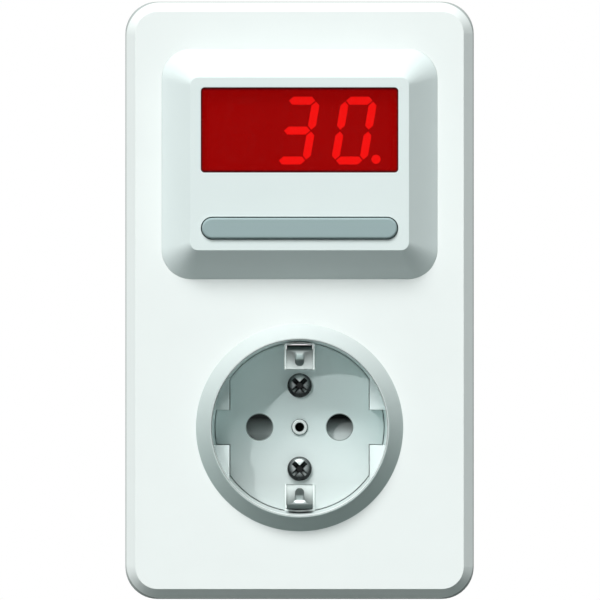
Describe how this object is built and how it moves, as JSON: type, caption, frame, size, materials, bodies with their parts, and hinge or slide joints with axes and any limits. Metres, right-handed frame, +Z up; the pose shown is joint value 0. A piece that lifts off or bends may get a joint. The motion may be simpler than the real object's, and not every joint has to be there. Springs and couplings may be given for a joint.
{
  "type": "countdown timer socket outlet",
  "caption": "Flush wall outlet: a white plate with a raised red-display countdown timer and push button above a recessed earthed socket on a steel frame.",
  "frame": {"origin": "on the wall plane, on the axis of the socket, midway between the two wall-box screw slots", "axes": "+X to the right seen from the front, the front faces -Y, +Y into the wall, +Z up"},
  "size_m": [0.0824, 0.0477, 0.1413],
  "materials": {
    "white_plastic": "smooth white, semi-gloss",
    "bezel_plastic": "smooth off-white, semi-gloss",
    "face_plastic": "smooth off-white, semi-gloss",
    "liner_metal": "bright nickel plated steel",
    "red_window": "clear red, polished",
    "button_plastic": "fine satin grey",
    "inner_plastic": "matt white",
    "black_plastic": "matt black",
    "display_body": "matt dark red",
    "lit_red": "lit diffuser",
    "unlit_red": "unlit diffuser",
    "spring_steel": "drawn wire",
    "zinc_screws": "zinc plated",
    "zinc_steel": "zinc plated sheet",
    "dark_screws": "blackened, polished dome",
    "rivet_metal": "bright, rolled edge",
    "nickel_strap": "nickel plated spring strip",
    "brass_contacts": "bare",
    "tinned_copper": "tinned",
    "copper_winding": "enamelled copper under tape",
    "soft_iron": "nickel plated iron",
    "relay_housing": "blue moulding",
    "film_box": "yellow box",
    "capacitor_sleeve": "sleeved can",
    "varistor_coat": "dipped coating",
    "fuse_case": "moulded case",
    "resistor_coat": "dipped coating",
    "board_laminate": "green solder mask",
    "shutter_plastic": "matt light grey",
    "base_thermoset": "matt thermoset",
    "brown_insulation": "extruded",
    "black_insulation": "extruded",
    "blue_insulation": "extruded"
  },
  "bodies": {
    "housing": {"front_plate": "white_plastic", "timer_bezel": "bezel_plastic", "display_window": "red_window", "button_guides": "inner_plastic", "button_springs": "spring_steel", "rear_cover": "inner_plastic", "case_screws": "zinc_screws", "lit_segments": "lit_red", "dark_segments": "unlit_red", "display_block": "display_body", "display_sockets": "black_plastic", "display_pins": "tinned_copper", "key_switch": "black_plastic", "switch_cover": "zinc_screws", "relay_base": "black_plastic", "relay_case": "relay_housing", "relay_coil": "copper_winding", "relay_yoke": "soft_iron", "relay_contacts": "brass_contacts", "film_capacitor": "film_box", "smoothing_capacitor": "capacitor_sleeve", "varistor": "varistor_coat", "fuse": "fuse_case", "rectifier_diodes": "black_plastic", "resistors": "resistor_coat", "microcontroller": "black_plastic", "controller_legs": "tinned_copper", "circuit_board": "board_laminate", "socket_face": "face_plastic", "clip_liners": "liner_metal", "central_rivet": "rivet_metal", "cover_screws": "dark_screws", "threaded_inserts": "brass_contacts", "shutter_spring": "spring_steel", "socket_base": "base_thermoset", "base_rear_cover": "base_thermoset", "base_screws": "zinc_screws", "line_contact": "brass_contacts", "neutral_contact": "brass_contacts", "supply_strip": "brass_contacts", "earth_strap": "nickel_strap", "terminal_screws": "zinc_screws", "clamp_washers": "zinc_screws", "mounting_frame": "zinc_steel", "supply_wire": "brown_insulation", "switched_wire": "black_insulation", "neutral_wire": "blue_insulation"},
    "button": {"start_button": "button_plastic"},
    "plunger": {"switch_plunger": "black_plastic"},
    "shutter": {"safety_shutter": "shutter_plastic"},
    "armature": {"relay_armature": "soft_iron"}
  },
  "joints": [
    {"name": "button_press", "type": "slide", "parent": "housing", "child": "button", "axis": [0, 1, 0], "range_m": [0, 0.0008], "stiffness_N_per_m": 1500, "springref_m": -0.0004, "deforming": ["button_springs"]},
    {"name": "plunger_press", "type": "slide", "parent": "housing", "child": "plunger", "axis": [0, 1, 0], "range_m": [0, 0.0008]},
    {"name": "shutter_turn", "type": "hinge", "parent": "housing", "child": "shutter", "pos_m": [0, 0.0046, 0], "axis": [0, 1, 0], "range_deg": [0, 42], "stiffness_Nm_per_rad": 0.004, "springref_deg": -11.46, "deforming": ["shutter_spring"]},
    {"name": "armature_rock", "type": "hinge", "parent": "housing", "child": "armature", "pos_m": [-0.0083, -0.0076, 0.0557], "axis": [0, 0, -1], "range_deg": [0, 4], "stiffness_Nm_per_rad": 0.002, "springref_deg": -2.86}
  ],
  "couplings": [
    {"joint": "plunger_press", "follows": "button_press", "ratio": 1}
  ]
}
